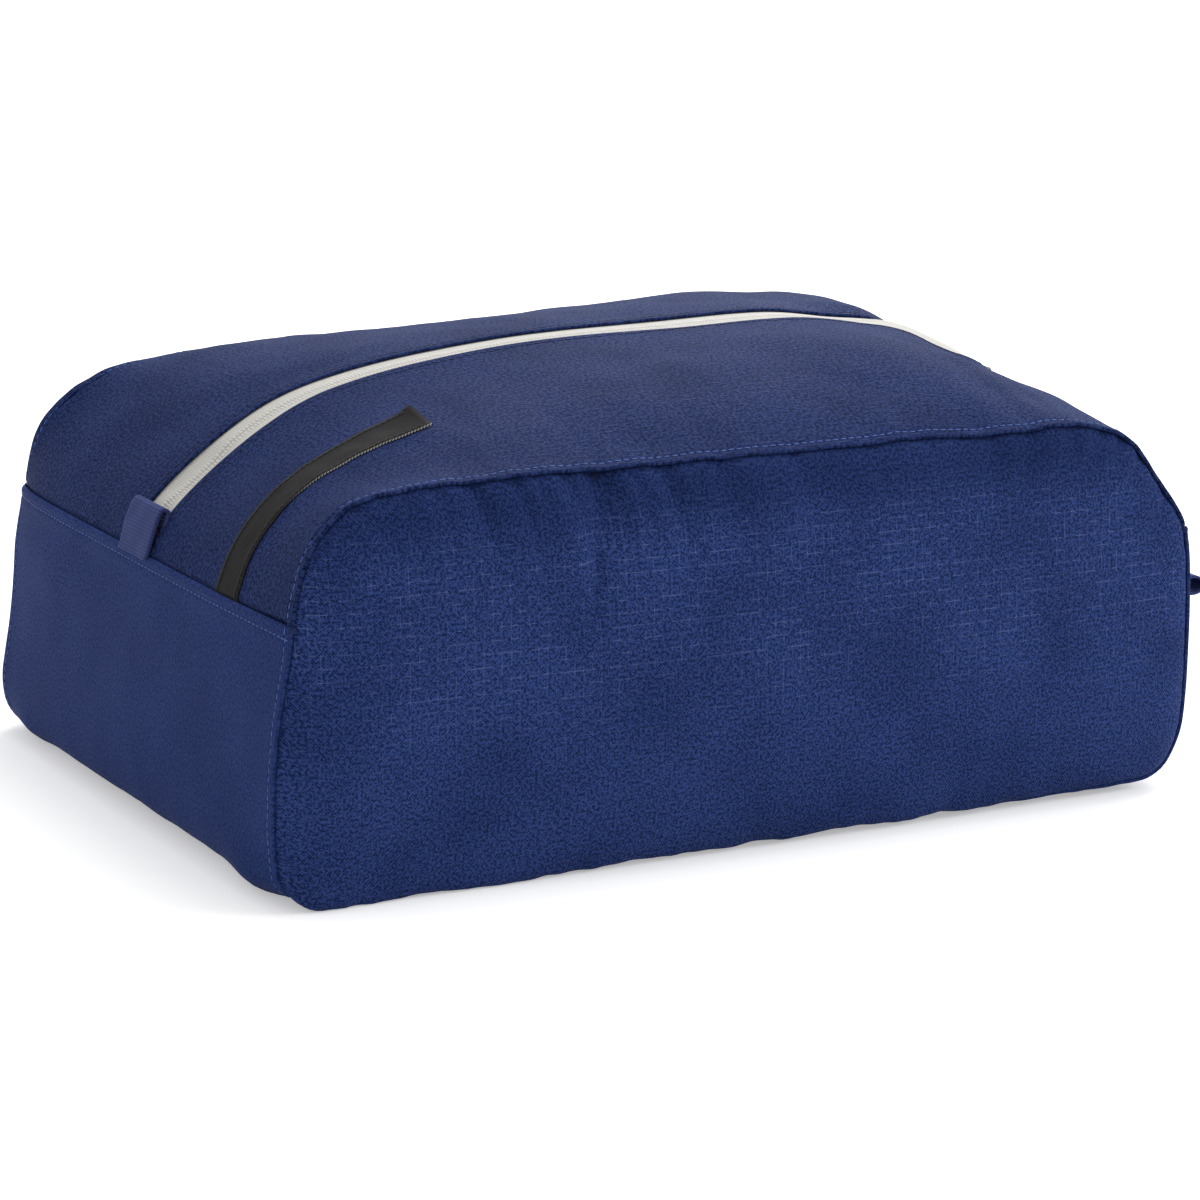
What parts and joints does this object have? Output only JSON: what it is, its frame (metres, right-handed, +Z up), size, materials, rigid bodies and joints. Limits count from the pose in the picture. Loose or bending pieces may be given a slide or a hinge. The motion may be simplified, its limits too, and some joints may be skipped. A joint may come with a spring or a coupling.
{
  "type": "packing cube",
  "caption": "Soft zip-top packing cube: a loaf-shaped fabric travel case with a domed top that opens along one lengthwise zip.",
  "frame": {"origin": "middle of the base, on the surface the cube stands on", "axes": "+X along the zip towards the slider's parked end, +Y towards the rear side panel, +Z up"},
  "size_m": [0.3404, 0.2478, 0.146],
  "materials": {
    "navy_twill": "coated ripstop twill, low sheen",
    "navy_ripstop": "fine ripstop, soft sheen",
    "zip_tape": "coated woven tape",
    "zip_coil": "moulded coil",
    "slider_metal": "gunmetal enamel",
    "webbing": "ribbed webbing",
    "label_weave": "woven label, bare",
    "binding_tape": "folded binding tape"
  },
  "bodies": {
    "bag": {"base_gusset": "navy_twill", "front_side_panel": "navy_twill", "rear_side_panel": "navy_twill", "front_left_shoulder": "navy_ripstop", "front_right_shoulder": "navy_ripstop", "rear_left_shoulder": "navy_ripstop", "rear_right_shoulder": "navy_ripstop", "left_tape_ends": "zip_tape", "right_tape_ends": "zip_tape", "left_coil_ends": "zip_coil", "right_coil_ends": "zip_coil", "label_strip": "label_weave", "front_seam_binding": "binding_tape", "rear_seam_binding": "binding_tape", "left_seam_binding": "binding_tape", "right_seam_binding": "binding_tape"},
    "front_flap": {"front_top_panel": "navy_ripstop", "front_zip_tape": "zip_tape", "front_zip_coil": "zip_coil"},
    "rear_flap": {"rear_top_panel": "navy_ripstop", "rear_zip_tape": "zip_tape", "rear_zip_coil": "zip_coil"},
    "slider": {"zip_slider": "slider_metal"},
    "pull": {"slider_pull": "slider_metal"},
    "left_loop": {"left_end_loop": "webbing"},
    "right_tab": {"right_end_tab": "webbing"}
  },
  "joints": [
    {"name": "zip_travel", "type": "hinge", "parent": "bag", "child": "slider", "pos_m": [0.00977, 0, -0.01793], "axis": [0, -1, 0], "range_deg": [0, 97.31], "deforming": ["left_tape_ends", "right_tape_ends", "left_coil_ends", "right_coil_ends"]},
    {"name": "front_flap_open", "type": "hinge", "parent": "bag", "child": "front_flap", "pos_m": [0, -0.1116, 0.1245], "axis": [1, 0, 0], "range_deg": [0, 50], "deforming": ["label_strip"]},
    {"name": "rear_flap_open", "type": "hinge", "parent": "bag", "child": "rear_flap", "pos_m": [0, 0.1116, 0.1245], "axis": [-1, 0, 0], "range_deg": [0, 50]},
    {"name": "pull_swing", "type": "hinge", "parent": "slider", "child": "pull", "pos_m": [0.15526, 0, 0.11609], "axis": [0, -1, 0], "range_deg": [0, 165]},
    {"name": "loop_fold", "type": "hinge", "parent": "bag", "child": "left_loop", "pos_m": [-0.16341, 0, 0.0855], "axis": [0, -1, 0], "range_deg": [0, 120]},
    {"name": "tab_fold", "type": "hinge", "parent": "bag", "child": "right_tab", "pos_m": [0.16301, -0.1026, 0.0655], "axis": [0, -1, 0], "range_deg": [-50, 50], "stiffness_Nm_per_rad": 0.0002}
  ],
  "couplings": [
    {"joint": "front_flap_open", "follows": "zip_travel", "ratio": 0.51381},
    {"joint": "rear_flap_open", "follows": "zip_travel", "ratio": 0.51381}
  ]
}
